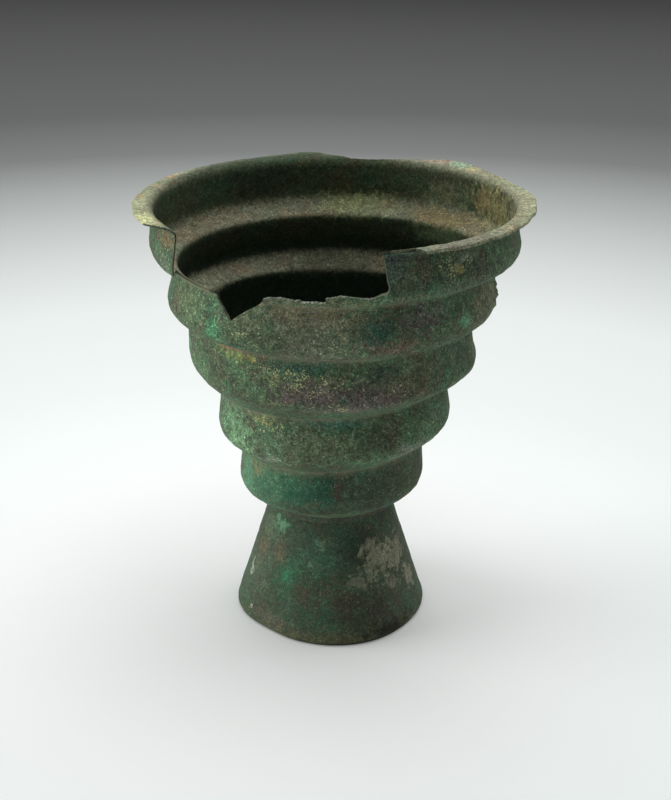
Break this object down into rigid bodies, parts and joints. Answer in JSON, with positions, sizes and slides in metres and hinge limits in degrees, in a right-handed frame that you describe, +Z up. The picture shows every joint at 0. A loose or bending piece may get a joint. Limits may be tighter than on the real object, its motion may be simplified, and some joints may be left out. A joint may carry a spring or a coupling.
{
  "type": "stepped bronze goblet",
  "caption": "Drinking goblet of raised bronze sheet: a wide bowl that narrows in rounded steps to a hollow conical foot, with a turned-out lip and a piece broken out of the mouth.",
  "frame": {"origin": "centre of the foot's base ring, on the surface that the goblet stands on", "axes": "+Z up along the goblet's axis; -Y towards the front, where the mouth is broken; +X to the right seen from the front"},
  "size_m": [0.107, 0.1024, 0.12],
  "materials": {
    "bowl_patina": "matt corroded bronze, dark olive green with malachite and ochre specks",
    "floor_patina": "matt dark olive bronze under dust",
    "solder_patina": "matt brownish green, corroded solder",
    "foot_patina": "matt corroded bronze, green and brown with a pale lime crust"
  },
  "bodies": {
    "root": {"stepped_wall": "bowl_patina", "floor_disc": "floor_patina", "waist_solder": "solder_patina", "conical_foot": "foot_patina"}
  },
  "joints": []
}
